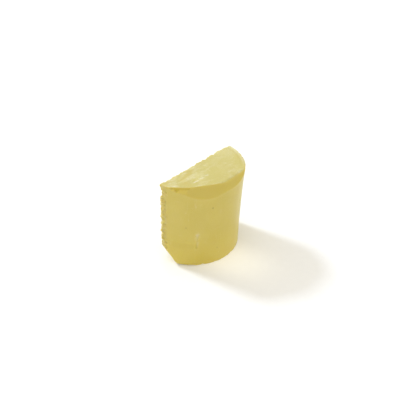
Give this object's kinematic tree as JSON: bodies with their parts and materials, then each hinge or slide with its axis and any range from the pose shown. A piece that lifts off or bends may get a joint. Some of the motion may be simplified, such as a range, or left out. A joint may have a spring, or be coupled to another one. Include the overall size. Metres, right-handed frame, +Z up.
{
  "type": "rosin cake",
  "caption": "Half-round cake of honey-coloured bow rosin: a flared cast round sawn in half, with a knife-trimmed rim and a broken foot corner.",
  "frame": {"origin": "on the foot plane, in the middle of the block's width and depth", "axes": "+Z up from the foot to the level top; +Y out of the sawn face, so the round side looks along -Y; +X along the sawn face's straight edges, with the broken foot corner at -X"},
  "size_m": [0.0359, 0.0168, 0.0316],
  "materials": {
    "rosin": "satin"
  },
  "bodies": {
    "root": {"rosin_cake": "rosin"}
  },
  "joints": []
}
